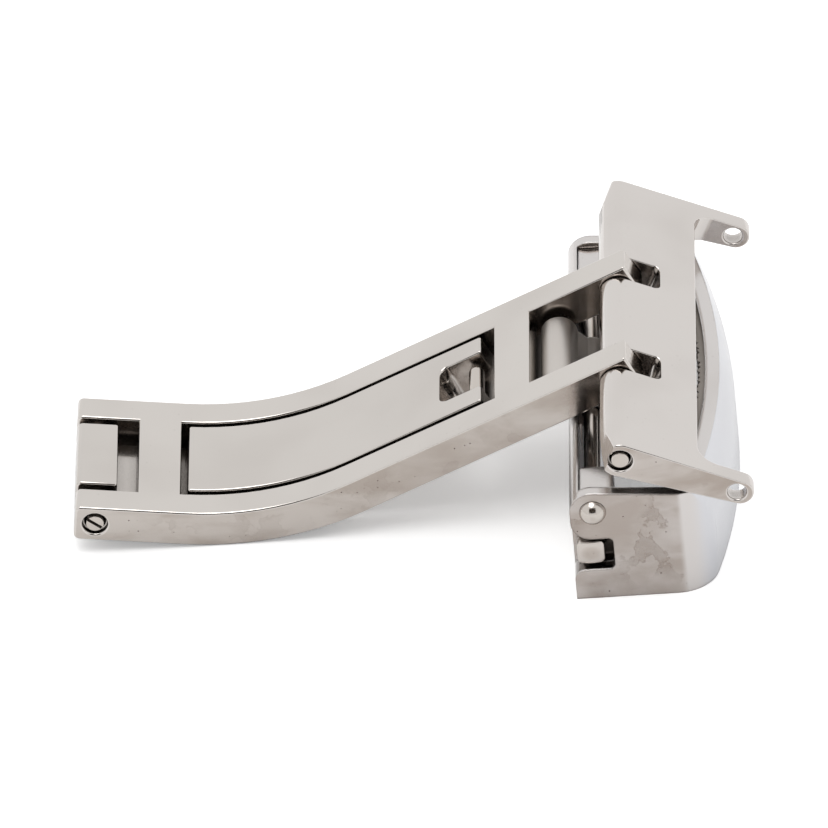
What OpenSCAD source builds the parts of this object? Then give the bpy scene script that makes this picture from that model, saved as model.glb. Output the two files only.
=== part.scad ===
// Single fold deployant clasp of a watch strap, as it stands on a table: the blades are
// nested, the cover is swung open and stands on its lower edge, and the strap plate lies
// on the cover. X runs along the blades and Y along the pins. Z is up. The origin is the
// middle of the axis of the bar that holds the strap in the plate's ears.
// Lengths are in millimetres.

/* [Outer blade] */
// Width across both rails
blade_w = 9; // [8.4:0.1:9.6]
// Thickness of both blades
blade_t = 1.95; // [1.75:0.05:2.2]
// Width of each rail and prong
rail_w = 1.6; // [1.4:0.05:1.8]
// Length of the straight stretch, from the plate pin to the bend
straight_len = 14.5; // [13:0.1:17]
// Slope of the straight stretch above the table, in degrees
blade_slope = 25; // [23:0.5:27]
// Radius of the bend, along the middle of the thickness
bend_r = 15; // [14:0.5:18]
// Angle of the bend, in degrees
bend_angle = 33.2; // [30:0.2:36]
// Length of the heel, from the bend to the fold pin
heel_len = 4.3; // [4.1:0.1:5]
// Height of the middle of the blade above the plate pin
pin_drop = 0.2; // [0.1:0.05:0.3]
// Length of the prongs beyond the plate pin
prong_tip = 0.94; // [0.8:0.02:1.1]
// Length of the open window between the prongs
prong_window = 4.35; // [4.1:0.05:5]
// Length of the cross bar next to the prongs
front_bar = 1.98; // [1.6:0.02:2.3]
// Length of the cross bar next to the fold pin
rear_bar = 2.1; // [1.6:0.05:2.3]
// Thickness of both cross bars
bar_t = 0.9; // [0.7:0.05:1]
// Distance from the fold pin to the rear cross bar
heel_notch = 1.99; // [1.8:0.05:2.1]
// Length of both blades beyond the fold pin
heel_tip = 1; // [0.9:0.05:1.1]
// Radius of the rounded heel corners
heel_round = 0.3; // [0.1:0.05:0.4]

/* [Inner blade] */
// Gap between the pad and each rail
pad_side_gap = 0.3; // [0.2:0.05:0.4]
// Gap between the pad and the front cross bar
pad_front_gap = 0.7; // [0.5:0.05:0.9]
// Gap between the pad and the rear cross bar
pad_rear_gap = 0.35; // [0.3:0.05:0.6]
// Width of the block on the fold pin
block_w = 4.9; // [4.5:0.1:5.2]
// Thickness of the necks under the cross bars
neck_t = 0.75; // [0.6:0.05:0.8]
// Width of the front neck, the nose and the knuckle
knuckle_w = 5; // [4.6:0.1:5.2]
// Radius of the rolled nose
nose_r = 0.9; // [0.8:0.02:1]
// Distance of the nose from the front cross bar along the blade
nose_back = 0.85; // [0.7:0.05:1.1]
// Depth of the nose below the middle of the blade
nose_depth = 0.57; // [0.5:0.01:0.7]
// Radius of the knuckle round the cover axle
knuckle_r = 0.95; // [0.85:0.01:1.05]
// Thickness of the web from the nose to the knuckle
web_t = 1.2; // [0.9:0.05:1.4]
// Length of the cut-out in the pad
cutout_len = 2.3; // [2:0.1:3]
// Width of the cut-out
cutout_w = 2.7; // [2.3:0.1:3]
// Radius of the cut-out's closed corners
cutout_r = 0.5; // [0.2:0.05:0.8]
// Length of the floor left in the cut-out
cutout_floor = 0.9; // [0.5:0.1:1.2]
// Distance that the floor reaches further at its far side
floor_slant = 0.55; // [0:0.05:0.8]

/* [Catch] */
// Radius of the catch bar
catch_r = 0.39; // [0.3:0.01:0.42]
// Depth of its axis below the top of the pad
catch_depth = 0.69; // [0.6:0.01:0.75]
// Distance of its axis from the front end of the pad
catch_inset = 0.58; // [0.5:0.02:0.7]
// Gap between its domed end and the far side of the cut-out
catch_gap = 0.3; // [0.2:0.05:0.5]
// Length of the bar that is let into the pad
catch_root = 0.6; // [0.4:0.05:0.8]

/* [Pins] */
// Radius of the fold pin and of the plate pin
pin_r = 0.43; // [0.36:0.01:0.46]
// Radius of the cover axle
axle_r = 0.4; // [0.35:0.01:0.45]
// Gap round a pin in its bore
pin_clear = 0.03; // [0.02:0.005:0.05]
// Radius of the recess round each visible pin end
recess_r = 0.6; // [0.55:0.01:0.65]
// Depth of that recess
recess_depth = 0.3; // [0.2:0.05:0.4]
// Depth of the pin ends below the surface
pin_inset = 0.05; // [0.03:0.01:0.1]
// Width of the screwdriver slot in the fold pin
slot_w = 0.16; // [0.1:0.02:0.24]
// Depth of that slot
slot_depth = 0.25; // [0.15:0.05:0.35]
// Angle of that slot from the level, in degrees
slot_turn = 40; // [0:5:90]
// Radius of the rivet heads of the cover axle
head_r = 0.65; // [0.55:0.01:0.75]
// Height of the rivet heads
head_h = 0.48; // [0.35:0.01:0.5]

/* [Strap plate] */
// Width of the gap between the ears, for the end of the strap
strap_gap = 20; // [19.5:0.1:20.5]
// Thickness of each ear
ear_t = 0.85; // [0.75:0.05:1]
// Distance from the plate pin to the axis of the strap bar
bar_reach = 5.92; // [5.6:0.02:6.5]
// Distance from the plate pin to the edge of the plate between the ears
plate_reach = 3.7; // [3.4:0.05:4]
// Radius of the rounded edge of the plate about its pin
plate_r = 0.95; // [0.88:0.01:1]
// Radius of the ear tips
tip_r = 0.675; // [0.62:0.005:0.75]
// Radius of the holes for the strap bar
bar_hole_r = 0.46; // [0.4:0.01:0.5]
// Distance from the strap bar's axis to the centre of the ear tip
tip_shift = 0.155; // [0.05:0.01:0.25]
// Radius of the fillet between the plate and each ear
ear_fillet = 1; // [0.5:0.1:1.4]
// Reach of the prong slots beyond the plate pin
slot_reach = 1.84; // [1.75:0.02:2.1]
// Gap between each side of a prong and its slot
prong_gap = 0.08; // [0.05:0.01:0.15]
// Radius of the slot corners
slot_round = 0.35; // [0.1:0.05:0.5]
// Setback of the outer corners of the hinge edge
corner_cut = 0.4; // [0.1:0.05:0.5]
// Width of that setback
corner_cut_w = 1.9; // [1.2:0.1:2.5]
// Gap between the plate and the corner of the cover that it lies on
rest_gap = 0.15; // [0.1:0.05:0.3]

/* [Cover] */
// Width across the cheeks
cover_w = 21.1; // [20.8:0.1:21.4]
// Thickness of the cheeks and of the domed face
cover_wall = 0.6; // [0.5:0.05:0.7]
// Thickness of the wall behind the axle
back_wall = 0.5; // [0.4:0.02:0.5]
// Distance of the cover axle from the plate pin along the blade
axle_at = 2.76; // [2.6:0.02:2.9]
// Depth of the cover axle below the middle of the blade
axle_depth = 2.44; // [2.4:0.02:2.6]
// Radius of the cheeks about the axle
cheek_r = 1.12; // [1.1:0.01:1.16]
// Distance from the axle to the crown of the domed face
crown_reach = 6.85; // [6.6:0.05:7.4]
// Height of the rim above the axle at the cover's corners
rim_rise = 0.7; // [0.6:0.02:0.8]
// Radius of the domed face, seen from above
dome_r = 38; // [34:1:50]
// Radius of the corners between the cheeks and the domed face
dome_corner = 2; // [1.4:0.1:2.4]
// Distance that the rim of the dome draws in
rim_inset = 0.6; // [0.3:0.05:0.8]
// Height over which it draws in
rim_curve = 2.8; // [2.4:0.1:3.4]
// Depth of the opening for the knuckle below the axle
gate_depth = 2.3; // [2.1:0.1:2.8]
// Gap between the knuckle and each side of that opening
gate_gap = 0.2; // [0.15:0.05:0.4]

/* [Strap grip] */
// Length of the grip across the dome
grip_len = 15.2; // [13:0.2:16]
// Height of the grip
grip_h = 0.9; // [0.7:0.05:1.1]
// Thickness at the roots of its teeth
grip_t = 0.14; // [0.12:0.01:0.2]
// Height of the teeth
tooth_h = 0.12; // [0.06:0.01:0.14]
// Distance from tooth to tooth
tooth_pitch = 0.4; // [0.3:0.05:0.8]
// Distance from the rim down to the top of the grip
grip_drop = 0.12; // [0.05:0.01:0.2]

/* [Push buttons] */
// Distance from the axle down to the notch in each cheek
notch_drop = 1.6; // [1.5:0.05:1.7]
// Height of the notch
notch_h = 1.83; // [1.75:0.02:2]
// Reach of the notch beyond the axle
notch_reach = 0.87; // [0.75:0.02:1]
// Radius of the closed corners of the notch
notch_round = 0.25; // [0.15:0.05:0.4]
// Radius of the upper edge of the notch's mouth
mouth_top_r = 1; // [0.8:0.05:1.05]
// Radius of the lower edge of the notch's mouth
mouth_low_r = 0.55; // [0.4:0.05:0.7]
// Length of the button head
head_len = 1.33; // [1.2:0.02:1.4]
// Height of the button head
button_h = 1.27; // [1.1:0.02:1.4]
// Thickness of the button head
button_t = 0.75; // [0.65:0.05:0.8]
// Radius of the corners of the button head
button_round = 0.25; // [0.15:0.05:0.4]
// Radius of the crowned face of the button head
button_crown = 2.1; // [1.8:0.1:3]
// Setback of the button's outer face from the cheek
button_inset = 0.05; // [0:0.01:0.1]
// Distance from the button head's middle to its stem
stem_shift = 0.265; // [0.2:0.005:0.3]
// Radius of the button stem
stem_r = 0.26; // [0.22:0.01:0.28]
// Travel of the buttons
button_travel = 0.4; // [0.3:0.05:0.45]
// Thickness of the carriers along the axle
carrier_t = 2; // [1.9:0.1:2.3]
// Reach of the carriers beyond the axle
carrier_reach = 1.05; // [0.8:0.05:1.15]
// Height of the carriers above the axle
carrier_rise = 0.8; // [0.6:0.05:0.85]
// Distance from the axle down to the foot of the carriers
carrier_drop = 4.2; // [3.6:0.1:4.6]
// Radius of the spring chamber
chamber_r = 0.5; // [0.46:0.01:0.52]
// Thickness of the carrier behind the spring chamber
chamber_wall = 0.4; // [0.3:0.05:0.5]
// Outer radius of the spring
spring_r = 0.46; // [0.43:0.01:0.48]
// Diameter of the spring wire
wire_d = 0.13; // [0.1:0.01:0.15]
// Turns of the spring
spring_turns = 4; // [3:1:5]
// Outer radius of the clip on the stem
clip_r = 0.45; // [0.4:0.01:0.5]
// Thickness of the clip
clip_t = 0.15; // [0.1:0.01:0.2]
// Length of the stem beyond the clip
stem_tail = 0.1; // [0.05:0.01:0.2]

/* [Hidden] */
$fn = 96;
fine = 360;
// Gap where two fixed pieces meet, and how far a cut runs past the piece that it opens
seat = 0.03;
over = 1;
// Straight sides run this far inside a round one that they meet, and this far into it
tuck = 0.002;
lap = 0.1;

// Places are [x, z] pairs measured from the plate pin. A station is a distance along the
// middle of the blades from the plate pin towards the fold pin.
rise = [-sin(blade_slope), cos(blade_slope)];
left = [-cos(blade_slope), -sin(blade_slope)];
blade_start = rise * pin_drop;
bend_end = straight_len + bend_r * bend_angle * PI / 180;
fold_at = bend_end + heel_len;
heel_slope = blade_slope - bend_angle;
bend_start_p = blade_start + left * straight_len;
bend_centre = bend_start_p + rise * bend_r;
bend_end_p = bend_centre + bend_r * [sin(heel_slope), -cos(heel_slope)];
fold_p = bend_end_p + heel_len * [-cos(heel_slope), -sin(heel_slope)];
base_z = bend_centre[1] - bend_r - blade_t / 2;
window_w = blade_w - 2 * rail_w;
rear_bar_at = fold_at - heel_notch - rear_bar;
pad_w = window_w - 2 * pad_side_gap;
pad_front = prong_window + front_bar + pad_front_gap;
pad_rear = rear_bar_at - pad_rear_gap;
cutout_end = pad_front + cutout_len;
nose_at = prong_window - nose_back;
nose_p = blade_start + left * nose_at - rise * nose_depth;
axle_p = blade_start + left * axle_at - rise * axle_depth;
catch_p = blade_start + left * (pad_front + catch_inset) + rise * (blade_t / 2 - catch_depth);

cover_h = cover_w / 2;
cover_left = axle_p[0] - cheek_r;
crown_x = axle_p[0] + crown_reach;
dome_axis = crown_x - dome_r;
corner_y = cover_h - dome_corner;
corner_x = dome_axis + sqrt(pow(dome_r - dome_corner - tuck, 2) - pow(corner_y, 2));
rest_x = corner_x + sqrt(pow(dome_corner, 2) - pow(strap_gap / 2 - corner_y, 2));
rest_z = axle_p[1] + rim_rise;
rim_fall = (cheek_r - rim_rise) / (rest_x - axle_p[0]);
rim_z = rest_z - rim_fall * (crown_x - rim_inset - rest_x);
curve_r = (pow(rim_curve, 2) + pow(rim_inset, 2)) / (2 * rim_inset);
curve_z = rim_z - rim_curve;

// The plate lies on the cover's corner, so its slope follows from the two.
tip_at = bar_reach + tip_shift;
taper = asin((plate_r - tip_r) / tip_at);
rest_far = norm([rest_x, rest_z]);
plate_slope = taper - atan2(rest_z, rest_x) - asin((plate_r + rest_gap) / rest_far);
plate_w = strap_gap + 2 * ear_t;
bar_p = bar_reach * [cos(plate_slope), -sin(plate_slope)];

button_face = cover_h - button_inset;
button_back = button_face - button_t;
button_z = axle_p[1] - notch_drop - notch_h / 2;
button_x = axle_p[0] - stem_shift;
carrier_out = cover_h - cover_wall - seat;
carrier_in = carrier_out - carrier_t;
chamber_in = carrier_in + chamber_wall;
spring_out = button_back - button_travel - seat;
stem_end = carrier_in - 2 * seat - clip_t - stem_tail;

// Radius of the dome at a height, drawn in by a wall
function dome_at(z, inset) =
    dome_r - curve_r + sqrt(pow(curve_r - inset, 2) - pow(max(z - curve_z, 0), 2));

// Moves the origin from the plate pin to the middle of the strap bar
module seated() translate([-bar_p[0], 0, -bar_p[1]]) children();

// Extrudes a side view along Y, centred
module along_y(width) rotate([90, 0, 0])
    linear_extrude(width, center = true) children();

// Puts children at a place in the side view
module at(p) translate([p[0], 0, p[1]]) children();

// A cylinder along Y, centred on a place
module rod(p, r, len) at(p) rotate([90, 0, 0]) cylinder(r = r, h = len, center = true);

// Repeats what is drawn for the far side, +Y, on the near side
module both_sides() {
    children();
    mirror([0, 1, 0]) children();
}

// The corner that a fillet of radius r takes from a square one, in the quarter given
module spandrel(x, y, dx, dy, r) difference() {
    translate([min(x, x + dx * r), min(y, y + dy * r)]) square(r);
    translate([x + dx * r, y + dy * r]) circle(r);
}

// A rectangle with all four corners rounded
module rounded(x0, y0, x1, y1, r) {
    translate([x0 + r, y0]) square([x1 - x0 - 2 * r, y1 - y0]);
    translate([x0, y0 + r]) square([x1 - x0, y1 - y0 - 2 * r]);
    for (x = [x0 + r, x1 - r], y = [y0 + r, y1 - r]) translate([x, y]) circle(r);
}

// A ring sector of the bend, between two distances from its start
module bend(s0, s1, lo, hi) {
    a0 = blade_slope - 90 - s0 / bend_r * 180 / PI;
    a1 = blade_slope - 90 - s1 / bend_r * 180 / PI;
    far = 2 * bend_r;
    translate(bend_centre) intersection() {
        difference() {
            circle(bend_r - lo, $fn = fine);
            circle(bend_r - hi, $fn = fine);
        }
        polygon([[0, 0], far * [cos(a1), sin(a1)], far * [cos(a0), sin(a0)]]);
    }
}

// Side view of the blade strip between two stations and two heights about its middle
module strip(s0, s1, lo, hi) {
    if (s0 < straight_len)
        translate(blade_start) rotate(blade_slope)
            bar_outline(-min(s1, straight_len + lap), -s0, lo, hi);
    if (s0 < bend_end && s1 > straight_len)
        bend(max(s0, straight_len) - straight_len, min(s1, bend_end) - straight_len, lo, hi);
    if (s1 > bend_end)
        translate(bend_end_p) rotate(heel_slope)
            bar_outline(bend_end - s1, bend_end - max(s0, bend_end - lap), lo, hi);
}

// A straight stretch of the strip, a hair thinner than the bend that it runs into
module bar_outline(x0, x1, lo, hi)
    translate([x0, lo + tuck]) square([x1 - x0, hi - lo - 2 * tuck]);

// Side view of the rounding at both heel corners
module heel_corners()
    translate(fold_p) rotate(heel_slope)
        for (side = [-1, 1])
            spandrel(-heel_tip, side * blade_t / 2, 1, -side, heel_round);

// Frame on the straight stretch, for cuts seen from above: X runs to the plate pin
module on_straight() at(blade_start) rotate([0, -blade_slope, 0]) children();

// Frame of the strap plate: X runs from its pin to the ears
module on_plate() rotate([0, plate_slope, 0]) children();

module outer_blade() color("gainsboro") seated() difference() {
    union() {
        both_sides() translate([0, (blade_w - rail_w) / 2, 0]) along_y(rail_w)
            difference() {
                strip(-prong_tip, fold_at + heel_tip, -blade_t / 2, blade_t / 2);
                heel_corners();
            }
        along_y(blade_w - rail_w) {
            strip(prong_window, prong_window + front_bar, blade_t / 2 - bar_t, blade_t / 2);
            strip(rear_bar_at, rear_bar_at + rear_bar, blade_t / 2 - bar_t, blade_t / 2);
        }
    }
    rod([0, 0], pin_r + pin_clear, blade_w + over);
    rod(fold_p, pin_r + pin_clear, blade_w + over);
    both_sides() translate([0, blade_w / 2, 0]) rod(fold_p, recess_r, 2 * recess_depth);
}

// Side view of the nose, the web and the knuckle
module nose_profile() {
    reach = axle_p - nose_p;
    translate(nose_p) circle(nose_r);
    translate(axle_p) circle(knuckle_r);
    translate(nose_p) rotate(atan2(reach[1], reach[0]))
        translate([0, -web_t / 2]) square([norm(reach), web_t]);
}

// Cut-out of the pad, seen from above; its floor keeps a slanted edge
module pad_cutout() on_straight() {
    translate([0, 0, -blade_t / 2 + neck_t]) linear_extrude(blade_t) cutout_outline();
    translate([0, 0, -blade_t]) linear_extrude(2 * blade_t) difference() {
        cutout_outline();
        polygon([[-pad_front - cutout_floor, -cutout_w / 2 - over],
            [-pad_front - cutout_floor - floor_slant, cutout_w / 2 + over],
            [-pad_front + 2 * over, cutout_w / 2 + over],
            [-pad_front + 2 * over, -cutout_w / 2 - over]]);
    }
}

module cutout_outline()
    rounded(-cutout_end, -cutout_w / 2, -pad_front + over, cutout_w / 2, cutout_r);

module inner_blade() color("lightgray") seated() difference() {
    union() {
        along_y(block_w) difference() {
            strip(fold_at - heel_tip, fold_at + heel_tip, -blade_t / 2, blade_t / 2);
            heel_corners();
        }
        along_y(block_w) strip(pad_rear - over, fold_at, -blade_t / 2, neck_t - blade_t / 2);
        along_y(pad_w) strip(pad_front, pad_rear, -blade_t / 2, blade_t / 2);
        along_y(knuckle_w) {
            strip(nose_at, pad_front + over, -blade_t / 2, neck_t - blade_t / 2);
            nose_profile();
        }
    }
    pad_cutout();
    catch_socket();
    rod(fold_p, pin_r + pin_clear, block_w + over);
    rod(axle_p, axle_r + pin_clear, knuckle_w + over);
}

// Blind hole for the root of the catch bar, in the near side of the cut-out
module catch_socket() at(catch_p) translate([0, -cutout_w / 2, 0])
    rotate([90, 0, 0]) cylinder(r = catch_r + seat, h = catch_root + seat);

module catch_bar() color("silver") seated() at(catch_p) {
    free = cutout_w - catch_gap - catch_r;
    translate([0, -cutout_w / 2 + free, 0]) {
        rotate([90, 0, 0]) cylinder(r = catch_r, h = free + catch_root);
        sphere(catch_r);
    }
}

module fold_pin() color("darkgray") seated() difference() {
    len = blade_w - 2 * pin_inset;
    rod(fold_p, pin_r, len);
    at(fold_p) rotate([0, slot_turn, 0]) translate([-over, -len / 2 - over, -slot_w / 2])
        cube([2 * over, over + slot_depth, slot_w]);
}

// Side view of the plate: a wedge with both ends rounded
module plate_profile() {
    x0 = -plate_r;
    x1 = tip_at + tip_r;
    y0 = (plate_r - x0 * sin(taper)) / cos(taper) - tuck;
    y1 = (plate_r - x1 * sin(taper)) / cos(taper) - tuck;
    difference() {
        polygon([[x0, -y0], [x1, -y1], [x1, y1], [x0, y0]]);
        difference() {
            translate([x0 - over, -2 * plate_r]) square([plate_r + over, 4 * plate_r]);
            circle(plate_r);
        }
        difference() {
            translate([tip_at, -2 * tip_r]) square([tip_r + over, 4 * tip_r]);
            translate([tip_at, 0]) circle(tip_r);
        }
    }
}

// Gap between the ears, seen from above, with its two fillets
module ear_gap() translate([0, 0, -2 * plate_r]) linear_extrude(4 * plate_r)
    rounded(plate_reach, -strap_gap / 2, tip_at + tip_r + ear_fillet + over, strap_gap / 2,
        ear_fillet);

// Slot for one prong, seen from above
module prong_slot() {
    half = rail_w / 2 + prong_gap;
    translate([0, (blade_w - rail_w) / 2, -2 * plate_r]) linear_extrude(4 * plate_r)
        rounded(-plate_r - slot_round - over, -half, slot_reach, half, slot_round);
}

// Setback of an outer corner of the hinge edge, seen from above
module corner_setback() translate([0, 0, -2 * plate_r]) linear_extrude(4 * plate_r)
    polygon([[-plate_r, plate_w / 2 - corner_cut_w], [-plate_r - over, plate_w / 2 - corner_cut_w],
        [-plate_r - over, plate_w / 2 + over], [corner_cut - plate_r, plate_w / 2 + over],
        [corner_cut - plate_r, plate_w / 2]]);

module strap_plate() color("whitesmoke") seated() on_plate() difference() {
    along_y(plate_w) plate_profile();
    ear_gap();
    both_sides() {
        prong_slot();
        corner_setback();
    }
    rod([bar_reach, 0], bar_hole_r, plate_w + over);
    rod([0, 0], pin_r + pin_clear, plate_w + over);
    both_sides() translate([0, plate_w / 2, 0]) rod([0, 0], recess_r, 2 * recess_depth);
}

module plate_pin() color("darkgray") seated() rod([0, 0], pin_r, plate_w - 2 * pin_inset);

// Outline of the cover seen from above, drawn in by a wall, before the dome is cut to it
module cover_plan(inset, back) {
    round_r = dome_corner - inset;
    side = cover_h - inset;
    turn = atan2(corner_y, corner_x - dome_axis);
    dome_y = corner_y + round_r * sin(turn) - lap;
    translate([back, -side]) square([corner_x - back, 2 * side]);
    translate([back, -dome_y]) square([crown_x + over - back, 2 * dome_y]);
    for (y = [-corner_y, corner_y]) translate([corner_x, y]) circle(round_r);
}

// Half section of the dome about its axis: upright below, drawn in towards the rim
module dome_section(inset) {
    low = base_z - 2 * over;
    translate([0, low]) square([dome_r - inset, curve_z - low]);
    translate([0, low]) square([dome_r - curve_r, axle_p[1] + 3 * cheek_r - low]);
    translate([dome_r - curve_r, curve_z]) circle(curve_r - inset, $fn = fine);
}

// Solid cover drawn in by a wall, before its rim and cheeks are cut to shape
module cover_block(inset, back, low, high) intersection() {
    translate([0, 0, low]) linear_extrude(high - low) cover_plan(inset, back);
    translate([dome_axis, 0, 0]) rotate_extrude($fn = fine) dome_section(inset);
}

// Side view of the cover: round about the axle, falling slightly to the rim
module cover_profile() {
    end_x = crown_x + over;
    end_z = rest_z - rim_fall * (end_x - rest_x);
    translate(axle_p) circle(cheek_r);
    translate([cover_left, base_z]) square([cheek_r, axle_p[1] - base_z]);
    polygon([[axle_p[0], base_z], [end_x, base_z], [end_x, end_z],
        [axle_p[0], axle_p[1] + cheek_r]]);
}

// Side view of the notch in a cheek, open towards the back
module notch_profile() {
    top = axle_p[1] - notch_drop;
    low = top - notch_h;
    rounded(cover_left - over, low, axle_p[0] + notch_reach, top, notch_round);
    spandrel(cover_left, top, 1, 1, mouth_top_r);
    spandrel(cover_left, low, 1, -1, mouth_low_r);
}

module cover_shell() color("silver") seated() difference() {
    intersection() {
        cover_block(0, cover_left, base_z, axle_p[1] + cheek_r + over);
        along_y(cover_w + over) cover_profile();
    }
    cover_block(cover_wall, cover_left + back_wall, base_z - over, axle_p[1] + cheek_r + 2 * over);
    translate([cover_left - over, -knuckle_w / 2 - gate_gap, axle_p[1] - gate_depth])
        cube([2 * over + back_wall, knuckle_w + 2 * gate_gap, gate_depth + 2 * cheek_r]);
    both_sides() translate([0, cover_h, 0])
        along_y(2 * (button_inset + button_t + button_travel + 2 * seat)) notch_profile();
    rod(axle_p, axle_r + pin_clear, cover_w + over);
}

// Toothed strip that follows the inside of the rim
module strap_grip() color("dimgray") seated() {
    top = rim_z - grip_drop;
    outer_r = dome_at(top, cover_wall) - seat;
    span = 2 * asin(grip_len / 2 / outer_r);
    teeth = round(grip_len / tooth_pitch);
    step = span / teeth;
    chord_r = outer_r * cos(step / 2);
    translate([dome_axis, 0, top - grip_h]) linear_extrude(grip_h) polygon(concat(
        [for (i = [0:teeth]) let (a = i * step - span / 2) chord_r * [cos(a), sin(a)]],
        [for (i = [2 * teeth:-1:0])
            let (a = i * step / 2 - span / 2, r = outer_r - grip_t - (i % 2) * tooth_h)
            r * [cos(a), sin(a)]]));
}

module cover_axle() color("lightgray") seated() {
    ball_r = (pow(head_r, 2) + pow(head_h, 2)) / (2 * head_h);
    rod(axle_p, axle_r, cover_w + 2 * seat);
    both_sides() at(axle_p) translate([0, cover_h + seat, 0]) intersection() {
        translate([0, head_h - ball_r, 0]) sphere(ball_r);
        translate([-over, 0, -over]) cube([2 * over, over, 2 * over]);
    }
}

// Button with its crowned head and its stem, for the far side
module push_button() {
    intersection() {
        translate([button_x, (button_face + button_back) / 2, button_z]) along_y(button_t)
            rounded(-head_len / 2, -button_h / 2, head_len / 2, button_h / 2, button_round);
        translate([button_x, button_face - button_crown, button_z]) sphere(button_crown);
    }
    at([axle_p[0], button_z]) translate([0, stem_end, 0]) rotate([-90, 0, 0])
        cylinder(r = stem_r, h = button_back - stem_end + button_t / 4);
}

module push_button_near() color("gainsboro") seated() mirror([0, 1, 0]) push_button();

module push_button_far() color("gainsboro") seated() push_button();

// Block inside a cheek that guides the axle and the button, for the far side
module button_carrier() difference() {
    x0 = cover_left + back_wall + seat;
    z0 = axle_p[1] - carrier_drop;
    translate([x0, carrier_in, z0])
        cube([axle_p[0] + carrier_reach - x0, carrier_t, carrier_drop + carrier_rise]);
    rod(axle_p, axle_r + pin_clear, cover_w);
    at([axle_p[0], button_z]) {
        translate([0, carrier_in - over, 0]) rotate([-90, 0, 0])
            cylinder(r = stem_r + pin_clear, h = carrier_t + 2 * over);
        translate([0, chamber_in, 0]) rotate([-90, 0, 0])
            cylinder(r = chamber_r, h = carrier_t + over);
    }
    translate([x0 - over, spring_out - seat, button_z - notch_h / 2])
        cube([over + axle_p[0] + notch_reach - x0, carrier_t, notch_h]);
}

module button_carrier_near() color("darkgray") seated() mirror([0, 1, 0]) button_carrier();

module button_carrier_far() color("darkgray") seated() button_carrier();

// Coil spring at its pressed length, a tube swept along a helix, for the far side
module button_spring() {
    steps = 20;
    sides = 6;
    wire_r = wire_d / 2;
    coil_r = spring_r - wire_r;
    y0 = chamber_in + seat + wire_r;
    climb = spring_out - wire_r - y0;
    rings = spring_turns * steps;
    points = [for (i = [0:rings], k = [0:sides - 1])
        let (a = i * 360 / steps, b = k * 360 / sides, r = coil_r + wire_r * cos(b))
        [r * cos(a), y0 + climb * i / rings + wire_r * sin(b), r * sin(a)]];
    walls = [for (i = [0:rings - 1], k = [0:sides - 1])
        let (p = i * sides + k, q = i * sides + (k + 1) % sides)
        each [[p, q, q + sides], [p, q + sides, p + sides]]];
    first = [for (k = [1:sides - 2]) [0, k + 1, k]];
    last = [for (k = [1:sides - 2]) let (e = rings * sides) [e, e + k, e + k + 1]];
    at([axle_p[0], button_z]) polyhedron(points, concat(walls, first, last));
}

module button_spring_near() color("slategray") seated() mirror([0, 1, 0]) button_spring();

module button_spring_far() color("slategray") seated() button_spring();

// Ring that keeps the stem in its carrier, for the far side
module button_clip() at([axle_p[0], button_z]) translate([0, stem_end + stem_tail, 0])
    rotate([-90, 0, 0]) difference() {
        cylinder(r = clip_r, h = clip_t);
        translate([0, 0, -over]) cylinder(r = stem_r + seat, h = clip_t + 2 * over);
    }

module button_clip_near() color("dimgray") seated() mirror([0, 1, 0]) button_clip();

module button_clip_far() color("dimgray") seated() button_clip();

outer_blade();
inner_blade();
catch_bar();
fold_pin();
strap_plate();
plate_pin();
cover_shell();
strap_grip();
cover_axle();
push_button_near();
push_button_far();
button_carrier_near();
button_carrier_far();
button_spring_near();
button_spring_far();
button_clip_near();
button_clip_far();
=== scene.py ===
# %% [markdown]
# A single fold deployant clasp, dressed
#
# The clasp closes a watch strap. Two curved blades fold flat into each other, a plate with two
# ears holds one end of the strap, and a domed cover snaps shut over them. Its pieces come in
# already built, at their real size, so this lesson is about their looks: rounded edges that
# catch the light, polished and worn steel, and a plain white table to stand on.

# %% Load the pieces
import math

import bmesh
import bpy
from mathutils import Matrix, Vector, noise as random_field


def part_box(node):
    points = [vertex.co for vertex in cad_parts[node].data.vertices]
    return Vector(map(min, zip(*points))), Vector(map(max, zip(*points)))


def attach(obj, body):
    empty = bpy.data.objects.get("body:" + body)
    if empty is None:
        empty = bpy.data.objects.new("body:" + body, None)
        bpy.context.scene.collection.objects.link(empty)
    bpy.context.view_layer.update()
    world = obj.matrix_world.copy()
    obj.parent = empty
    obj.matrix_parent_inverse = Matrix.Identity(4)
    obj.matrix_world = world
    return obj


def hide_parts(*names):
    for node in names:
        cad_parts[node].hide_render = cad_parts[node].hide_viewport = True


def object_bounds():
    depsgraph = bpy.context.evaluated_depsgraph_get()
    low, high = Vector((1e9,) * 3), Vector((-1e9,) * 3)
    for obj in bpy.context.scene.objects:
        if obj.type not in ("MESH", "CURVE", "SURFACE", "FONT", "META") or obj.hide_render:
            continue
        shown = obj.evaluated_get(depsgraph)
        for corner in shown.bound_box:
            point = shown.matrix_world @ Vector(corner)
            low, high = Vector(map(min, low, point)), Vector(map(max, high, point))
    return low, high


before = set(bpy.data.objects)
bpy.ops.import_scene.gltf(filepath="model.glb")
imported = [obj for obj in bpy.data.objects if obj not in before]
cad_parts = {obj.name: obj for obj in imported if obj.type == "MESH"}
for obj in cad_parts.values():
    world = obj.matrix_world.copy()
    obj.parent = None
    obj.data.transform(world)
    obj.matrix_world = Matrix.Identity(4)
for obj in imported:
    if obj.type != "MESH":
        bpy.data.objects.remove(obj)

MM = 0.001
cad_low, cad_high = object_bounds()
print("pieces:", len(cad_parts))
print("size in mm:", [round(length / MM, 2) for length in cad_high - cad_low])

# %% [markdown]
# The camera
#
# A small thing photographed from far away through a long lens shows almost no perspective:
# edges that are parallel on the clasp stay parallel in the picture. An orthographic camera
# would do, but a real lens keeps a little depth, so this is a very long lens at one metre.
# It looks down at the clasp from in front and is slightly turned, which is its roll.

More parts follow.
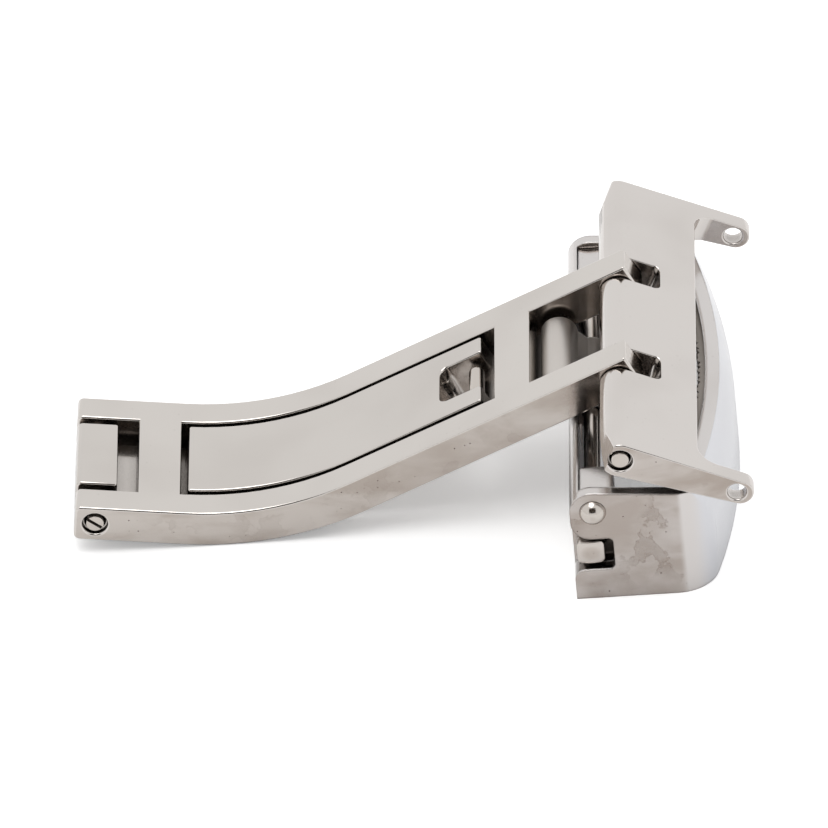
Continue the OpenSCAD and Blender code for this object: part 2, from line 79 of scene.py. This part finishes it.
# %% Set up the camera
AZIMUTH = math.radians(-3.491)
ELEVATION = math.radians(36.459)
ROLL = math.radians(-5.601)
TARGET = Vector((-15.759, 0, -2.173)) * MM
DISTANCE = 1.0
SENSOR = 36.0
IMAGE_SIDE = 828
PIXELS_PER_MM = 20.6
NEAREST_SEEN = 0.01


def placed(name, data):
    """A new object of the scene, at the origin."""
    made = bpy.data.objects.new(name, data)
    bpy.context.scene.collection.objects.link(made)
    return made


forward = Vector((math.sin(AZIMUTH) * math.cos(ELEVATION),
                  math.cos(AZIMUTH) * math.cos(ELEVATION),
                  -math.sin(ELEVATION)))
level_right = Vector((math.cos(AZIMUTH), -math.sin(AZIMUTH), 0))
level_up = level_right.cross(forward)
right = level_right * math.cos(ROLL) + level_up * math.sin(ROLL)
up = level_up * math.cos(ROLL) - level_right * math.sin(ROLL)

camera = placed("camera", bpy.data.cameras.new("camera"))
camera.data.sensor_width = SENSOR
camera.data.lens = PIXELS_PER_MM / MM * DISTANCE * SENSOR / IMAGE_SIDE
camera.data.clip_start = NEAREST_SEEN
turn = Matrix((right, up, -forward)).transposed().to_4x4()
camera.matrix_world = Matrix.Translation(TARGET - forward * DISTANCE) @ turn
bpy.context.scene.camera = camera
print("lens in mm:", round(camera.data.lens))

# %% [markdown]
# Shader maths in plain Python
#
# A finish is arithmetic on patterns: where a stain lies, how dark it is, how far it dulls the
# gloss. It can be wired by hand in the node editor, but then the idea gets lost among the
# wires. The small class below wraps one socket instead, so that `1 - stain * 0.3` builds its
# own Math nodes and reads as what it means.

# %% Values that do arithmetic
class Value:
    """One output socket of a node tree, with arithmetic that adds Math nodes."""

    def __init__(self, tree, socket):
        self.tree = tree
        self.socket = socket

    def math(self, operation, *others):
        return self.tree.node("ShaderNodeMath", {"operation": operation}, [self, *others])

    def __add__(self, other):
        return self.math("ADD", other)

    def __radd__(self, other):
        return self.math("ADD", other)

    def __sub__(self, other):
        return self.math("SUBTRACT", other)

    def __rsub__(self, other):
        return self.tree.node("ShaderNodeMath", {"operation": "SUBTRACT"}, [other, self])

    def __mul__(self, other):
        return self.math("MULTIPLY", other)

    def __rmul__(self, other):
        return self.math("MULTIPLY", other)

    def between(self, low, high):
        """0 below low, 1 above high, and a smooth step from one to the other."""
        settings = {"interpolation_type": "SMOOTHSTEP"}
        sockets = {"Value": self, "From Min": low, "From Max": high}
        return self.tree.node("ShaderNodeMapRange", settings, sockets)


print("signs that add a Math node: + - *")

# %% [markdown]
# One way to add any node
#
# Every other node comes from one method. It takes the node's type, its settings and what goes
# into its sockets, and gives back one output to go on with. The settings go first, because
# some of them decide which sockets a node has. Colours are blended in Mix nodes: a Math node
# would do for one number, but it turns a colour grey.

# %% A tree that grows by expressions
class Tree:
    """A material's or the world's nodes, emptied and filled by expressions."""

    # A Mix node has sockets for numbers, vectors and colours under the same names, so those
    # for its amount and its colours are picked by their place
    MIX_AMOUNT = 0
    MIX_FIRST = 6
    MIX_SECOND = 7
    MIX_RESULT = 2

    def __init__(self, owner):
        owner.use_nodes = True
        self.nodes = owner.node_tree.nodes
        self.links = owner.node_tree.links
        self.nodes.clear()

    def give(self, socket, given):
        """Links a socket to a value, or sets it to a plain number, colour or vector."""
        if isinstance(given, Value):
            self.links.new(given.socket, socket)
        else:
            socket.default_value = given

    def node(self, kind, settings=None, inputs=None, output=0):
        """Adds a node, sets it up and returns one of its outputs, if it has any."""
        made = self.nodes.new(kind)
        for name, setting in (settings or {}).items():
            setattr(made, name, setting)
        inputs = inputs or {}
        pairs = inputs.items() if isinstance(inputs, dict) else enumerate(inputs)
        for key, given in pairs:
            self.give(made.inputs[key], given)
        return Value(self, made.outputs[output]) if made.outputs else None

    def mix(self, amount, first, second):
        """Blends two colours by a number."""
        sockets = {self.MIX_AMOUNT: amount, self.MIX_FIRST: first, self.MIX_SECOND: second}
        return self.node("ShaderNodeMix", {"data_type": "RGBA"}, sockets, self.MIX_RESULT)


print("places of a Mix node's two colours:", Tree.MIX_FIRST, "and", Tree.MIX_SECOND)

# %% [markdown]
# Colours as a picture shows them
#
# A picture stores its tones from 0 to 255 on a scale that is even to the eye, and a shader
# wants the amount of light. Light could be typed in directly, but it is hard to guess. So
# each tone below is written as the picture should show it, and one helper turns it into light.

# %% Colours
def colour(red, green, blue):
    """A colour given as it looks in a picture, 0 to 255, as the light that the shader needs."""
    def light(part):
        # The usual curve of screen colours, straight in its darkest part
        part /= 255
        return part / 12.92 if part <= 0.04045 else ((part + 0.055) / 1.055) ** 2.4
    return (light(red), light(green), light(blue), 1)


print("mid grey in a picture is this much light:", round(colour(128, 128, 128)[0], 3))

# %% [markdown]
# Patterns at their real size
#
# A pattern of the wrong size gives a small thing away: a smudge as wide as the blade makes it
# look like a toy. Pictures of worn steel would need each piece unwrapped, so the patterns here
# are noise, with so many blotches to the millimetre. They read the piece's own coordinates,
# and so they stay put when a piece moves.

# %% Patterns in millimetres
def millimetres(tree, stretch=(1, 1, 1)):
    """Coordinates on the piece in millimetres, stretched along its axes for a grain."""
    place = tree.node("ShaderNodeTexCoord", output="Object")
    return tree.node("ShaderNodeVectorMath", {"operation": "MULTIPLY"},
                     [place, [share / MM for share in stretch]])


def noise(tree, where, per_mm, detail=3.0, roughness=0.55, distortion=0.0):
    """Soft random blotches, so many to the millimetre."""
    return tree.node("ShaderNodeTexNoise", {}, {
        "Vector": where, "Scale": per_mm, "Detail": detail,
        "Roughness": roughness, "Distortion": distortion})


def facing(tree):
    """How far the surface faces along X and along Y, each from -1 to 1."""
    outward = tree.node("ShaderNodeTexCoord", output="Normal")
    return [tree.node("ShaderNodeSeparateXYZ", {}, [outward], output=axis) for axis in "XY"]


print("pattern units to a metre:", round(1 / MM))

# %% [markdown]
# The faults of handled steel
#
# Polished stainless steel is a mirror with faults. Its flat faces look like plain warm grey
# only because they mirror a plain white room. The faults tell the eye that it is metal: a brown
# film and dried blotches on the sides where fingers and dust rest, tiny pits, and painted shade
# in the slots. The film also paints shade on the sides, thin all over them. One noise for all
# of them would look like camouflage, so each fault has a pattern and a size of its own, and
# gives back how strong it is at each point, from 0 to about 1.

# %% Film with painted side shade, stains, pits and painted slot shade
CLOUD_STRETCH = (0.6, 1, 1.4)
CLOUD_STEP = (0.35, 0.65)
# The least share of the film, which darkens every side all over as painted shade
LEAST_FILM_AND_SHADE = 0.45
STAIN_AREA = (0.44, 0.58)
STAIN_INSIDE = (0.515, 0.575)
INSIDE_DARK = 0.35
RIM_STARTS = (0.53, 0.54)
RIM_ENDS = (0.54, 0.565)
RIM_DARK = 0.45
PIT_AREA = (0.46, 0.58)
PIT_STEP = (0.05, 0.13)
PITS_ON_TOP = 0.15
# Painted shade in the slots: how near other surfaces must be, and the step of its edge
SHADE_REACH = 1.6 * MM
SHADE_STEP = (0.12, 0.56)


def side_film_and_shade(tree, side, film_and_shade):
    """A brown film on the sides, thicker in clouds, and painted shade that darkens them all over.
    """
    cloud = noise(tree, millimetres(tree, CLOUD_STRETCH), per_mm=0.34, detail=4.0,
                  distortion=0.3)
    return side * film_and_shade * (LEAST_FILM_AND_SHADE + cloud.between(*CLOUD_STEP) * (1 - LEAST_FILM_AND_SHADE))


def dried_stains(tree, here, side, stains):
    """Drops that dried on the sides, faint inside and dark along their rim."""
    blotch = noise(tree, here, per_mm=0.42, detail=7.0, roughness=0.58, distortion=0.25)
    where = noise(tree, here, per_mm=0.33, detail=1.0)
    rim = blotch.between(*RIM_STARTS) * (1 - blotch.between(*RIM_ENDS))
    inside = blotch.between(*STAIN_INSIDE) * INSIDE_DARK
    return (rim * RIM_DARK + inside) * where.between(*STAIN_AREA) * side * stains


def tiny_pits(tree, here, side, pits):
    """Pits in loose groups, a few on top and most of them on the sides."""
    cells = tree.node("ShaderNodeTexVoronoi", {}, {"Vector": here, "Scale": 2.2})
    spread = noise(tree, here, per_mm=0.7, detail=1.0)
    found_here = (1 - cells.between(*PIT_STEP)) * spread.between(*PIT_AREA)
    return found_here * pits * (PITS_ON_TOP + side * (1 - PITS_ON_TOP))


def painted_slot_shade(tree, crevice_shade):
    """Painted shade: darker where other surfaces are near, as in the bottom of a slot."""
    openness = tree.node("ShaderNodeAmbientOcclusion", {"samples": 8},
                         {"Distance": SHADE_REACH}, output="AO")
    return (1 - openness.between(*SHADE_STEP)) * crevice_shade


# The shade in the slots is painted into the colour
print("a slot looks dirty where something is nearer than, in mm:", round(SHADE_REACH / MM, 1))

# %% [markdown]
# The height of the surface
#
# Under its faults the polish wavers a little, which bends the reflections, and fine scratches
# run along the blades. The satin parts were brushed across, which draws a grain. Dents so
# small would take millions of faces, so they go into a bump, which only tilts the light.

# %% Waves, scratches and brushing
ALONG_X = (0.5, 7, 7)
ALONG_Y = (8, 0.5, 8)
END_FACE = (0.3, 0.8)
SCRATCH_STEP = (0.62, 0.72)
SATIN_BLEND = 0.2
BUMP_STRENGTH = 0.3
BUMP_HEIGHT = 0.012 * MM
# The depths are shares of that height
WAVE_DEPTH = 0.3
SCRATCH_DEPTH = 0.04
GRAIN_DEPTH = 0.02
BRUSHED_DEPTH = 0.25
PIT_DEPTH = 0.5


def polished_height(tree, here, to_x, scratches):
    """Soft waves, with scratches wherever the surface doesn't face along X."""
    wave = noise(tree, here, per_mm=1.3, detail=1.5)
    scored = noise(tree, millimetres(tree, ALONG_X), per_mm=1.5, detail=5.0, roughness=0.75)
    along = 1 - (to_x * to_x).between(*END_FACE)
    return wave * WAVE_DEPTH + scored.between(*SCRATCH_STEP) * along * (-SCRATCH_DEPTH * scratches)


def left_satin(tree, here, satin_past):
    """1 past an x in millimetres, where the steel was brushed and not polished, and its grain."""
    x = tree.node("ShaderNodeSeparateXYZ", {}, [here], output="X")
    satin = x.between(satin_past - SATIN_BLEND, satin_past + SATIN_BLEND)
    brushed = noise(tree, millimetres(tree, ALONG_Y), per_mm=1.6, detail=4.0, roughness=0.7)
    return satin, brushed


print("highest bump in mm:", round(BUMP_HEIGHT / MM, 3))

# %% [markdown]
# The tones
#
# Clean steel in a white room is a pale warm grey. Haze, film and stains are darker and browner
# steps of the same grey, where the film also paints shade on the sides. Pits are a dark brown,
# and so is the painted shade in the slots. The tones could be written where they are used, but
# side by side they are easier to balance.

# %% Tones
SATIN_TONE = (168, 160, 153)
# The pale blue of a painted reflection of the bright room, on faces that turn right
RIGHT_SHEEN_TONE = (208, 213, 222)
HAZE_TONE = (184, 177, 172)
# A brown film that also paints shade on the sides
FILM_AND_SHADE_TONE = (150, 136, 125)
STAIN_TONE = (122, 107, 96)
PIT_TONE = (84, 74, 68)
# Painted shade in the slots takes this tone, and below is how much light it leaves
SLOT_SHADE_TONE = (72, 65, 59)
slot_shade_share = colour(*SLOT_SHADE_TONE)[0] / colour(*HAZE_TONE)[0]
print("light that dirt gives back, as a share of haze:", round(slot_shade_share, 2))

# %% [markdown]
# From faults to a finish
#
# The blades, the plate, the cover and the pins are all steel, but each was polished and
# handled in its own way. Eight separate materials would repeat the same wiring, so one
# function builds them all, from a tone and a share of each fault. A fault tints the colour
# and roughens the gloss together, because a stain that only changed the colour would look
# printed on.

# %% A steel finish
SIDE_FACE = (0.93, 0.997)
HAZE_STEP = (0.4, 0.75)
HAZE_SHARE = 0.3
# Painted reflection on faces that turn right: where it starts and where it is full
RIGHT_SHEEN_STEP = (0.4, 0.9)
GRAIN_STEP = (0.45, 0.75)
GRAIN_ROUGH = 0.05
SATIN_SHARE = 0.15
SATIN_ROUGH = 0.26


def steel(name, tone, gloss=0.12, film_and_shade=0.5, stains=0.5, pits=0.5, scratches=0.3, grain=0.0,
          film_and_shade_tone=FILM_AND_SHADE_TONE, crevice_shade=1.0, eased=0.0, right_sheen=0.0, satin_past=None):
    """Steel of one tone with a share of each fault and of painted shade, where 0 is none of it.

    gloss is the roughness of clean metal. grain roughens the skin all over. eased rounds the
    edges in the shading, by so many millimetres. A painted reflection tints what faces right
    towards the pale blue of the bright room, by its share, and satin_past is the x in
    millimetres past which the steel is satin.
    """
    material = bpy.data.materials.new(name)
    tree = Tree(material)
    here = millimetres(tree)
    to_x, to_y = facing(tree)
    side = (to_y * to_y).between(*SIDE_FACE)
    haze = noise(tree, here, per_mm=0.16, detail=2.0)
    fine = noise(tree, here, per_mm=7.0)

    # Each fault: how strong it is, its tone, how much it covers and how much it roughens
    pit = tiny_pits(tree, here, side, pits)
    faults = [
        # A brown film on the sides, with painted shade all over them
        (side_film_and_shade(tree, side, film_and_shade), film_and_shade_tone, 1.0, 0.08),
        (dried_stains(tree, here, side, stains), STAIN_TONE, 0.7, 0.15),
        (pit, PIT_TONE, 0.8, 0.3),
        # Painted shade where other surfaces are near
        (painted_slot_shade(tree, crevice_shade), SLOT_SHADE_TONE, 1.0, 0.2),
    ]
    base = tree.mix(haze.between(*HAZE_STEP) * HAZE_SHARE, colour(*tone), colour(*HAZE_TONE))
    # Painted reflection: faces that turn right take a pale blue tint of the bright room
    base = tree.mix(to_x.between(*RIGHT_SHEEN_STEP) * right_sheen, base, colour(*RIGHT_SHEEN_TONE))
    rough = gloss
    for strength, fault_tone, covers, roughens in faults:
        base = tree.mix(strength * covers, base, colour(*fault_tone))
        rough = rough + strength * roughens
    rough = rough + fine.between(*GRAIN_STEP) * GRAIN_ROUGH

    height = polished_height(tree, here, to_x, scratches) + fine * (GRAIN_DEPTH + grain)
    if satin_past is not None:
        satin, brushed = left_satin(tree, here, satin_past)
        base = tree.mix(satin * SATIN_SHARE, base, colour(*SATIN_TONE))
        rough = rough + satin * SATIN_ROUGH
        height = height + satin * brushed * BRUSHED_DEPTH
    height = height - pit * PIT_DEPTH

    bump = {"Strength": BUMP_STRENGTH, "Distance": BUMP_HEIGHT, "Height": height}
    if eased:
        bump["Normal"] = tree.node("ShaderNodeBevel", {"samples": 6}, {"Radius": eased * MM})
    surface = tree.node("ShaderNodeBsdfPrincipled", {}, {
        "Base Color": base, "Metallic": 1.0, "Roughness": rough,
        "Normal": tree.node("ShaderNodeBump", {}, bump)})
    tree.node("ShaderNodeOutputMaterial", {}, {"Surface": surface})
    return material


# The dirt in the slots is painted shade, and the film on the sides carries painted shade too
print("faults that a finish can have: film, stains, pits and dirt in the slots")

# %% [markdown]
# The finishes of this clasp
#
# The blades and the plate are bright and wear a film on their sides, which also paints shade
# on them. The cover is the most handled piece, so it has the most stains, and a painted
# reflection on what faces right. The pins are plain turned steel, and the grip is rough and
# dark. The neck, nose and knuckle of the inner blade were left satin, from where its pad ends.

# %% Mix the finishes
PAD_END = -12.0
FINISHES = {
    "outer_blade": steel("blade_polished", (208, 203, 198), film_and_shade=0.65, stains=0.4, pits=0.8),
    "inner_blade": steel("blade_part_satin", (205, 200, 195), film_and_shade=0.7, stains=0.3, pits=0.4,
                         satin_past=PAD_END),
    "plate": steel("plate_polished", (211, 206, 202), film_and_shade=0.75, stains=0.4, pits=0.7),
    # The cover carries the painted reflection on faces that turn right
    "cover": steel("cover_polished", (208, 204, 202), gloss=0.15, film_and_shade=0.68, stains=1.0, pits=1.0,
                   eased=0.2, right_sheen=0.5),
    "button": steel("button_pressed", (200, 193, 187), gloss=0.2, film_and_shade=0.45, stains=0.2, pits=0.2),
    "pin": steel("pin_turned", (200, 193, 186), gloss=0.16, film_and_shade=0.2, stains=0.1, pits=0.1,
                 scratches=0),
    # The grip has a smaller share of painted shade between its teeth
    "grip": steel("grip_rough", (152, 146, 140), gloss=0.5, film_and_shade=0.2, stains=0.2, grain=1.5,
                  film_and_shade_tone=(80, 74, 68), crevice_shade=0.6),
    "spring": steel("spring_drawn", (172, 170, 168), gloss=0.25, film_and_shade=0.1, stains=0, pits=0),
}
print("finishes:", ", ".join(FINISHES))

# %% [markdown]
# One skin from loose triangles
#
# A piece comes in as loose triangles, three points to each, and a bevel can't follow an edge
# that two faces don't share. So a copy of the piece has its points joined and its flat faces
# made whole again. Remeshing would do that too, but it would blur every corner.
#
# Where the CAD cut a corner right along an end face, it left a fin thinner than a hair, on
# which a bevel would fold over. The free edge of each fin is welded back to its root.

# %% Join a piece into one skin
JOIN_WITHIN = 0.004 * MM
FLAT_WITHIN = math.radians(0.6)
FIN_FROM = math.radians(165)
FIN_HEIGHT = 0.35 * MM
FIN_WIDTH = 1.0 * MM


def joined_copy(node):
    """A mesh of the piece as one closed skin, with whole flat faces."""
    skin = bmesh.new()
    skin.from_mesh(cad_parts[node].data)
    bmesh.ops.remove_doubles(skin, verts=skin.verts, dist=JOIN_WITHIN)
    bmesh.ops.dissolve_degenerate(skin, dist=JOIN_WITHIN, edges=skin.edges)
    bmesh.ops.dissolve_limit(skin, angle_limit=FLAT_WITHIN, verts=skin.verts, edges=skin.edges)
    return skin


def weld_fins(skin, corners_round):
    """Folds each fin flat by its free edge, the one further from what the corners go round."""
    folds = [edge for edge in skin.edges
             if edge.calc_face_angle(0) > FIN_FROM and edge.calc_length() > FIN_WIDTH]
    ends = {vert for edge in folds for vert in edge.verts}
    welds = {}
    for vert in ends:
        for other in ends - {vert}:
            near = (vert.co - other.co).length < FIN_HEIGHT
            if near and (vert.co - corners_round).length > (other.co - corners_round).length:
                welds[vert] = other
    bmesh.ops.weld_verts(skin, targetmap=welds)
    bmesh.ops.dissolve_degenerate(skin, dist=JOIN_WITHIN, edges=skin.edges)
    return len(welds) // 2


print("points are joined within, in mm:", round(JOIN_WITHIN / MM, 3))

# %% [markdown]
# Edges that catch the light
#
# No machined edge is perfectly sharp, and the thin bright line along each edge of the real
# clasp is the edge's own small rounding, mirroring the lamps. A shader can fake it, but the
# outline stays sharp, so here a narrow round bevel is really cut along the outer edges. Where
# a corner is so acute that two cuts would cross, its edges are left alone.

# %% Round the edges
SHARP_FROM = math.radians(28)
ACUTE_FROM = math.radians(100)
ROUND_SEGMENTS = 4


def round_edges(skin, radius):
    """Cuts a narrow round bevel along the outer edges, away from corners that are too acute."""
    acute = {vert for edge in skin.edges if edge.calc_face_angle(0) > ACUTE_FROM
             for vert in edge.verts}
    sharp = [edge for edge in skin.edges
             if edge.calc_face_angle(0) > SHARP_FROM and edge.is_convex
             and not acute.intersection(edge.verts)]
    bmesh.ops.bevel(skin, geom=sharp, offset=radius, offset_type="OFFSET", affect="EDGES",
                    segments=ROUND_SEGMENTS, profile=0.5, material=-1, clamp_overlap=False)
    return len(sharp)


print("edges rounded from, in degrees:", round(math.degrees(SHARP_FROM)))

# %% [markdown]
# A dressed piece
#
# The new skin takes the old piece's place on the same body, so it still moves with its joint.
# Curved faces are shaded smooth and corners stay sharp. Smooth shading alone would leave
# grey smears on the flat faces beside a rounding, so a Weighted Normal modifier lets the big
# flat face decide.

# %% Dress a piece
SMOOTH_TO = math.radians(40)


def dressed(node, body, finish, radius, shape=None):
    """The piece as shown: shaped, rounded, smooth where it curves, finished, tied to its body."""
    skin = joined_copy(node)
    if shape:
        shape(skin)
    count = round_edges(skin, radius) if radius else 0
    for face in skin.faces:
        face.smooth = True
    for edge in skin.edges:
        edge.smooth = edge.calc_face_angle(0) < SMOOTH_TO
    mesh = bpy.data.meshes.new(node + "_skin")
    skin.to_mesh(mesh)
    skin.free()
    mesh.materials.append(FINISHES[finish])
    piece = placed(node + "_skin", mesh)
    level = piece.modifiers.new("flat_faces_stay_flat", "WEIGHTED_NORMAL")
    level.keep_sharp = True
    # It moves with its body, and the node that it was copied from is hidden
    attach(piece, body)
    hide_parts(node)
    low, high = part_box(node)
    length = (high.x - low.x) / MM
    print(f"{node}: {count} edges rounded, {len(mesh.polygons)} faces, {length:.1f} mm long")


print("faces are shaded as one up to, in degrees:", round(math.degrees(SMOOTH_TO)))

# %% [markdown]
# The two blades
#
# The outer blade is a frame of two rails and two cross bars, bent to the wrist. The inner
# blade lies in it with its top flush, so the gap round it reads as a thin dark line. Both were
# stamped, bent and tumbled, which leaves an even, narrow rounding on every edge. A subdivision
# surface would round the flat rails as well, so they get the bevel, with one radius for both.

# %% Dress the blades
ROUND_BLADE = 0.13 * MM
pin_low, pin_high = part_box("fold_pin")
fold_pin_middle = (pin_low + pin_high) / 2


def clean_heel(skin):
    """Folds the fins at the end that turns on the fold pin."""
    print("fins welded:", weld_fins(skin, fold_pin_middle))


dressed("outer_blade", "outer_blade", "outer_blade", ROUND_BLADE, clean_heel)
dressed("inner_blade", "inner_blade", "inner_blade", ROUND_BLADE, clean_heel)

# %% [markdown]
# The strap plate and the cover
#
# The plate is cast and polished by hand, and a bevel suits it. The cover is a formed sheet
# whose rim runs along a curve, where a cut bevel would step from facet to facet. Its edges
# stay crisp in the mesh, and the finish eases them over a fraction of a millimetre. Where two
# of its curves meet, the CAD left a step finer than a hair, which would show as a crack, so
# its sides are joined.

# %% Dress the plate and the cover
ROUND_PLATE = 0.1 * MM
LEFT_CRISP = 0
SEAM_STEP = 0.01 * MM


def close_seam(skin):
    """Joins the two sides of the fine step down the dome."""
    before = len(skin.verts)
    bmesh.ops.remove_doubles(skin, verts=skin.verts, dist=SEAM_STEP)
    bmesh.ops.dissolve_degenerate(skin, dist=SEAM_STEP, edges=skin.edges)
    print("points joined:", before - len(skin.verts))


dressed("strap_plate", "strap_plate", "plate", ROUND_PLATE)
dressed("cover_shell", "cover", "cover", LEFT_CRISP, close_seam)

# %% [markdown]
# Pins, buttons and what lies inside
#
# Small turned and pressed pieces. They could share one rounding, but it would eat up the
# thinnest of them, so each gets one in proportion to its size. The riveted ends of the cover's
# axle are round already. The springs and clips sit inside the carriers, out of sight, and
# take a finish only.

# %% Dress the small pieces
# Node, body, slot, finish and rounding
SMALL = [
    ("catch_bar", "inner_blade", "pin_steel", "pin", 0.03 * MM),
    ("fold_pin", "outer_blade", "pin_steel", "pin", 0.03 * MM),
    ("plate_pin", "strap_plate", "pin_steel", "pin", 0.05 * MM),
    ("cover_axle", "cover", "pin_steel", "pin", LEFT_CRISP),
    ("push_button_near", "button_near", "cover_steel", "button", 0.05 * MM),
    ("push_button_far", "button_far", "cover_steel", "button", 0.05 * MM),
    ("button_carrier_near", "cover", "cover_steel", "cover", 0.03 * MM),
    ("button_carrier_far", "cover", "cover_steel", "cover", 0.03 * MM),
]
for node, body, slot, finish, radius in SMALL:
    dressed(node, body, finish, radius)

# Node, slot and finish
HIDDEN = [
    ("button_spring_near", "spring_steel", "spring"),
    ("button_spring_far", "spring_steel", "spring"),
    ("button_clip_near", "pin_steel", "pin"),
    ("button_clip_far", "pin_steel", "pin"),
]
for node, slot, finish in HIDDEN:
    hidden_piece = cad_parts[node]
    hidden_piece.data.materials.clear()
    hidden_piece.data.materials.append(FINISHES[finish])
print("pieces out of sight:", len(HIDDEN))

# %% [markdown]
# The grip
#
# Inside the top rim of the cover runs a strip that bites into the strap. On the real clasp it
# is a ragged dark band, not a neat row of teeth. A bump in the finish would stay smooth where
# the light grazes it, so the strip's inner side is divided finely, pushed towards the strap and
# moved by a random field, which is the same on every run. For the move up and down the field
# is read elsewhere, so that the points don't all move along one slope.

# %% Roughen the grip
GRIP_MORE = 0.2 * MM
GRIP_RAGGED = 0.12 * MM
RAGGED_UPWARDS = 0.5
RAGGED_PER_MM = 3.1
GRIP_CUTS = 3
FACES_STRAP = -0.2
ELSEWHERE = Vector((7, 7, 7))


def ragged(skin):
    """Divides the side that faces the strap, to the left, and moves its points about."""
    inner = [edge for edge in skin.edges
             if any(face.normal.x < FACES_STRAP for face in edge.link_faces)]
    bmesh.ops.subdivide_edges(skin, edges=inner, cuts=GRIP_CUTS, use_grid_fill=True)
    skin.normal_update()
    moved = {vert for face in skin.faces if face.normal.x < FACES_STRAP for vert in face.verts}
    for vert in moved:
        place = vert.co / MM * RAGGED_PER_MM
        vert.co.x -= GRIP_MORE + GRIP_RAGGED * random_field.noise(place)
        vert.co.z += GRIP_RAGGED * RAGGED_UPWARDS * random_field.noise(place + ELSEWHERE)
    print("points moved:", len(moved))


dressed("strap_grip", "cover", "grip", LEFT_CRISP, ragged)

# %% [markdown]
# The table
#
# The clasp stands on plain white with only its deep shadows showing. A table that glows would
# do it, but it would flood the clasp from below. So the table answers each ray by its kind: it
# is pale where it lights the clasp, white where the steel mirrors it, and a little past white
# where the camera sees it.

# %% Build the table
TABLE_SIDE = 4.0
TABLE_EXTRA = 0.3
PALE = (0.86, 0.86, 0.86, 1)
WHITE = (1, 1, 1, 1)


def sees_background(tree):
    """1 for what the camera, a mirror or glass looks at, and 0 for what lights the clasp."""
    kinds = [tree.node("ShaderNodeLightPath", output=name)
             for name in ("Is Camera Ray", "Is Glossy Ray", "Is Transmission Ray")]
    return (kinds[0] + kinds[1] + kinds[2]).math("MINIMUM", 1.0)


def flat_board(name, width, height, material, place):
    """A rectangle made by one operator and moved into its place, which is no part of the clasp."""
    board = bmesh.new()
    bmesh.ops.create_grid(board, x_segments=1, y_segments=1, size=0.5)
    bmesh.ops.scale(board, vec=(width, height, 1), verts=board.verts)
    bmesh.ops.transform(board, matrix=place, verts=board.verts)
    mesh = bpy.data.meshes.new(name)
    board.to_mesh(mesh)
    board.free()
    mesh.materials.append(material)
    made = placed(name, mesh)
    return made


table_material = bpy.data.materials.new("table_white")
tree = Tree(table_material)
plain = tree.node("ShaderNodeBsdfDiffuse", {}, {"Color": PALE})
shaded = tree.node("ShaderNodeBsdfDiffuse", {}, {"Color": WHITE})
extra = tree.node("ShaderNodeEmission", {}, {"Color": WHITE, "Strength": TABLE_EXTRA})
bright = tree.node("ShaderNodeAddShader", {}, [extra, shaded])
to_camera = tree.node("ShaderNodeLightPath", output="Is Camera Ray")
seen = tree.node("ShaderNodeMixShader", {}, [to_camera, shaded, bright])
answer = tree.node("ShaderNodeMixShader", {}, [sees_background(tree), plain, seen])
tree.node("ShaderNodeOutputMaterial", {}, {"Surface": answer})

table_place = Matrix.Translation((0, 0, cad_low.z))
flat_board("table", TABLE_SIDE, TABLE_SIDE, table_material, table_place)
print("height of the table in mm:", round(cad_low.z / MM, 2))

# %% [markdown]
# The room
#
# Metal shows what stands round it, so the room is part of the finish. A picture of a studio
# would bring its windows and walls into every flat face. On the real clasp those faces are
# calm, so the room is one even white.

# %% Build the room
ROOM_BRIGHTNESS = 1.0
world = bpy.data.worlds.new("white_room")
bpy.context.scene.world = world
tree = Tree(world)
room = tree.node("ShaderNodeBackground", {}, {"Color": WHITE, "Strength": ROOM_BRIGHTNESS})
tree.node("ShaderNodeOutputWorld", {}, {"Surface": room})
print("brightness of the room:", ROOM_BRIGHTNESS)

# %% [markdown]
# A card and a lamp
#
# In an even white room a rounded edge has nothing to mirror, and the clasp would look flat. A
# dark warm card in front and a soft lamp above mend that: edges and rivet heads show them as a
# bright line with a dark one beside it. From where the camera stands, no flat face mirrors
# either of them. From behind and low down, the tops of the blades mirror the card.

# %% Set up the card and the lamp
CARD_TONE = (66, 58, 52)
CARD_WIDTH = 0.75
CARD_HEIGHT = 0.55
CARD_AT = (0, -0.58, 0.42)
CARD_TILT = math.radians(56)
LAMP_SIDE = 0.5
LAMP_BRIGHTNESS = 2.6
LAMP_AT = Vector((-0.1, -0.15, 0.9))

card_material = bpy.data.materials.new("card_dark")
tree = Tree(card_material)
dark = tree.node("ShaderNodeBsdfDiffuse", {}, {"Color": colour(*CARD_TONE)})
tree.node("ShaderNodeOutputMaterial", {}, {"Surface": dark})
card_place = Matrix.Translation(CARD_AT) @ Matrix.Rotation(CARD_TILT, 4, "X")
card = flat_board("dark_card", CARD_WIDTH, CARD_HEIGHT, card_material, card_place)
card.visible_camera = False

lamp = placed("soft_lamp", bpy.data.lights.new("soft_lamp", "AREA"))
lamp.data.shape = "SQUARE"
lamp.data.size = LAMP_SIDE
lamp.data.energy = LAMP_BRIGHTNESS * math.pi * LAMP_SIDE ** 2
lamp_turn = LAMP_AT.to_track_quat("Z", "Y").to_matrix().to_4x4()
lamp.matrix_world = Matrix.Translation(LAMP_AT) @ lamp_turn
print("lamp in watts:", round(lamp.data.energy, 2))

# %% [markdown]
# Colours shown as they are
#
# The default view softens bright tones as film does, and would turn the white table grey. The
# Standard view shows each colour as it was written.

# %% Choose the view
bpy.context.scene.view_settings.view_transform = "Standard"
print("view:", bpy.context.scene.view_settings.view_transform)
